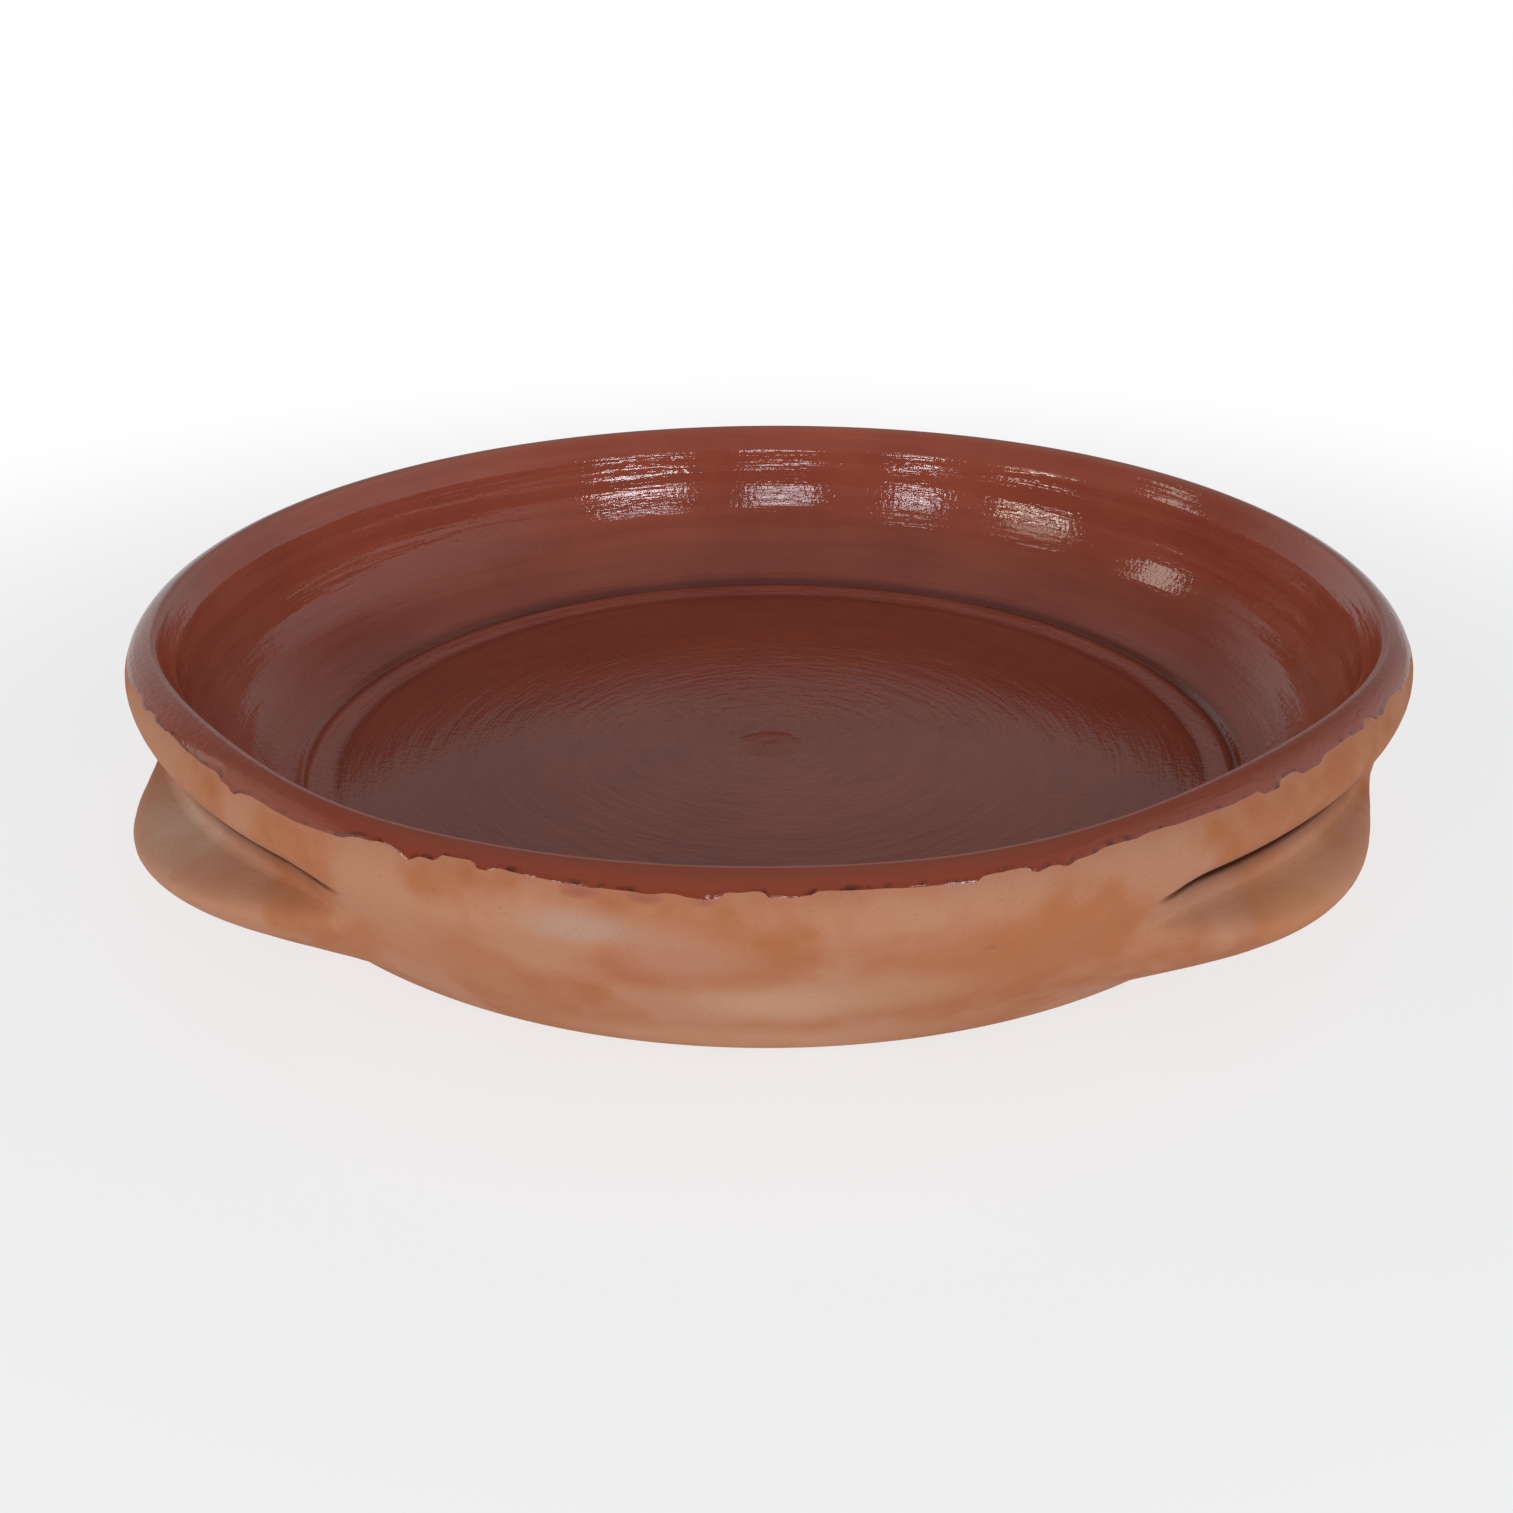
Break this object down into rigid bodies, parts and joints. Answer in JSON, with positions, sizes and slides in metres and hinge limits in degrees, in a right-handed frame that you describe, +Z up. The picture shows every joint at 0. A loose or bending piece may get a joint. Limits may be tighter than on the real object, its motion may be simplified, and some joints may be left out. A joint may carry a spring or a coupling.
{
  "type": "terracotta baking dish",
  "caption": "Round shallow terracotta baking dish with a glazed inside, a bevelled rim and bare clay lugs pulled out under it.",
  "frame": {"origin": "centre of the flat underside, on the throwing axis", "axes": "+Z up out of the open mouth, +X to the right and -Y to the front between two lugs, as in the picture"},
  "size_m": [0.36, 0.36, 0.063],
  "materials": {
    "terracotta": "fired red clay, clear glazed inside and bare outside"
  },
  "bodies": {
    "root": {"dish": "terracotta"}
  },
  "joints": []
}
